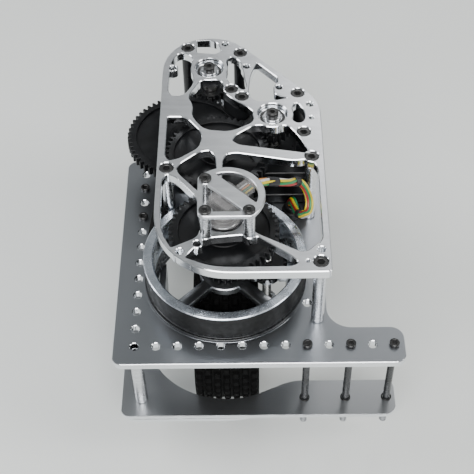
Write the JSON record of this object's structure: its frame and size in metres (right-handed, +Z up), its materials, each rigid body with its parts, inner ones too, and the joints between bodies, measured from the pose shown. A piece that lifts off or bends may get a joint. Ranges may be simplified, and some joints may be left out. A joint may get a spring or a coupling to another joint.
{
  "type": "steer-and-drive wheel gearbox module",
  "caption": "Open-frame wheel module: motors, planetary and spur gears and a toothed belt steer and drive a wheel held in a turntable.",
  "frame": {"origin": "underside of the middle plate's arm, midway between two bolt holes of the front row, where the module sits on a frame rail", "axes": "+Z up along the steering axis, +X to the right along the front row of holes, +Y to the rear"},
  "size_m": [0.1714, 0.2281, 0.1734],
  "materials": {
    "plate_aluminium": "machined, satin",
    "turned_aluminium": "turned, bright",
    "pulley_aluminium": "turned, polished face",
    "black_anodised": "black anodised, satin",
    "black_oxide": "black oxide, satin",
    "black_gear": "black, matte",
    "steel": "ground, satin",
    "belt_rubber": "moulded, matte",
    "tread_rubber": "rough, matte",
    "clear_plastic": "clear moulded, glossy",
    "black_plastic": "moulded, matte",
    "wire_insulation": "extruded insulation"
  },
  "bodies": {
    "frame": {"top_plate": "plate_aluminium", "mid_plate": "plate_aluminium", "lower_plate": "plate_aluminium", "lower_stiffener": "plate_aluminium", "standoff_front_right": "turned_aluminium", "standoff_left": "turned_aluminium", "standoff_right": "turned_aluminium", "corner_spacer": "turned_aluminium", "steer_standoff_rear_left": "black_anodised", "steer_standoff_rear_right": "black_anodised", "drive_standoff_rear": "black_anodised", "drive_standoff_right": "black_anodised", "bridge_block": "black_anodised", "rail_bolt_1": "black_oxide", "rail_bolt_2": "black_oxide", "rail_bolt_3": "black_oxide", "steering_motor": "black_anodised", "drive_motor": "black_anodised", "planetary_housing": "black_anodised", "planetary_ring": "steel", "steering_belt": "belt_rubber", "turntable_race_outer": "steel", "drive_shaft_bearing": "steel", "hub_pin": "steel", "counter_pin": "steel", "steering_shaft_bearing": "steel", "drive_output_bearing": "steel", "encoder_bracket": "plate_aluminium", "encoder_body": "clear_plastic", "encoder_connector": "clear_plastic", "harness_socket": "black_plastic", "wire_harness": "wire_insulation"},
    "turntable": {"steering_pulley": "pulley_aluminium", "turntable_race_inner": "steel", "fork_left": "plate_aluminium", "fork_right": "plate_aluminium", "wheel_axle": "steel", "encoder_rod": "steel"},
    "wheel": {"wheel_rim": "plate_aluminium", "wheel_tread": "tread_rubber", "bevel_gear": "steel"},
    "transfer": {"transfer_shaft": "steel", "transfer_gear": "black_gear", "bevel_pinion": "steel"},
    "drive_column": {"centre_gear": "black_gear", "drive_shaft": "steel", "drive_gear": "black_gear"},
    "hub_idler": {"hub_gear": "black_gear"},
    "planetary_output": {"planet_carrier": "steel", "drive_pinion": "black_gear"},
    "sun": {"sun_gear": "steel"},
    "planet_1": {"planet_gear_1": "steel"},
    "planet_2": {"planet_gear_2": "steel"},
    "planet_3": {"planet_gear_3": "steel"},
    "counter": {"steering_gear": "black_gear", "counter_pulley": "pulley_aluminium"},
    "steering_input": {"steering_pinion": "black_gear", "steering_motor_shaft": "steel"}
  },
  "joints": [
    {"name": "steering", "type": "hinge", "parent": "frame", "child": "turntable", "pos_m": [-0.06725, 0.0526, 0.00476], "axis": [0, 0, 1], "continuous": true},
    {"name": "wheel_spin", "type": "hinge", "parent": "turntable", "child": "wheel", "pos_m": [-0.06725, 0.0526, -0.04544], "axis": [1, 0, 0], "continuous": true},
    {"name": "transfer_spin", "type": "hinge", "parent": "turntable", "child": "transfer", "pos_m": [-0.04185, 0.0526, 0.00476], "axis": [0, 0, 1], "continuous": true},
    {"name": "drive_column_spin", "type": "hinge", "parent": "frame", "child": "drive_column", "pos_m": [-0.06725, 0.0526, 0.00476], "axis": [0, 0, 1], "continuous": true},
    {"name": "hub_gear_spin", "type": "hinge", "parent": "frame", "child": "hub_idler", "pos_m": [-0.07179, 0.11594, 0.00476], "axis": [0, 0, 1], "continuous": true},
    {"name": "planetary_output_spin", "type": "hinge", "parent": "frame", "child": "planetary_output", "pos_m": [-0.03684, 0.1402, 0.00476], "axis": [0, 0, 1], "continuous": true},
    {"name": "sun_spin", "type": "hinge", "parent": "frame", "child": "sun", "pos_m": [-0.03684, 0.1402, 0.00476], "axis": [0, 0, 1], "continuous": true},
    {"name": "planet_1_spin", "type": "hinge", "parent": "planetary_output", "child": "planet_1", "pos_m": [-0.02334, 0.1402, 0.00476], "axis": [0, 0, 1], "continuous": true},
    {"name": "planet_2_spin", "type": "hinge", "parent": "planetary_output", "child": "planet_2", "pos_m": [-0.04359, 0.15189, 0.00476], "axis": [0, 0, 1], "continuous": true},
    {"name": "planet_3_spin", "type": "hinge", "parent": "planetary_output", "child": "planet_3", "pos_m": [-0.04359, 0.12851, 0.00476], "axis": [0, 0, 1], "continuous": true},
    {"name": "counter_spin", "type": "hinge", "parent": "frame", "child": "counter", "pos_m": [-0.09225, 0.1404, 0.00476], "axis": [0, 0, 1], "continuous": true},
    {"name": "steering_input_spin", "type": "hinge", "parent": "frame", "child": "steering_input", "pos_m": [-0.07745, 0.185, 0.00476], "axis": [0, 0, 1], "continuous": true}
  ],
  "couplings": [
    {"joint": "transfer_spin", "follows": "wheel_spin", "ratio": 2},
    {"joint": "drive_column_spin", "follows": "wheel_spin", "ratio": -2},
    {"joint": "hub_gear_spin", "follows": "wheel_spin", "ratio": 2},
    {"joint": "planetary_output_spin", "follows": "wheel_spin", "ratio": -5.8824},
    {"joint": "sun_spin", "follows": "wheel_spin", "ratio": -26.471},
    {"joint": "planet_1_spin", "follows": "wheel_spin", "ratio": 16.471},
    {"joint": "planet_2_spin", "follows": "wheel_spin", "ratio": 16.471},
    {"joint": "planet_3_spin", "follows": "wheel_spin", "ratio": 16.471},
    {"joint": "counter_spin", "follows": "steering", "ratio": 3.3333},
    {"joint": "steering_input_spin", "follows": "steering", "ratio": -12.083}
  ]
}
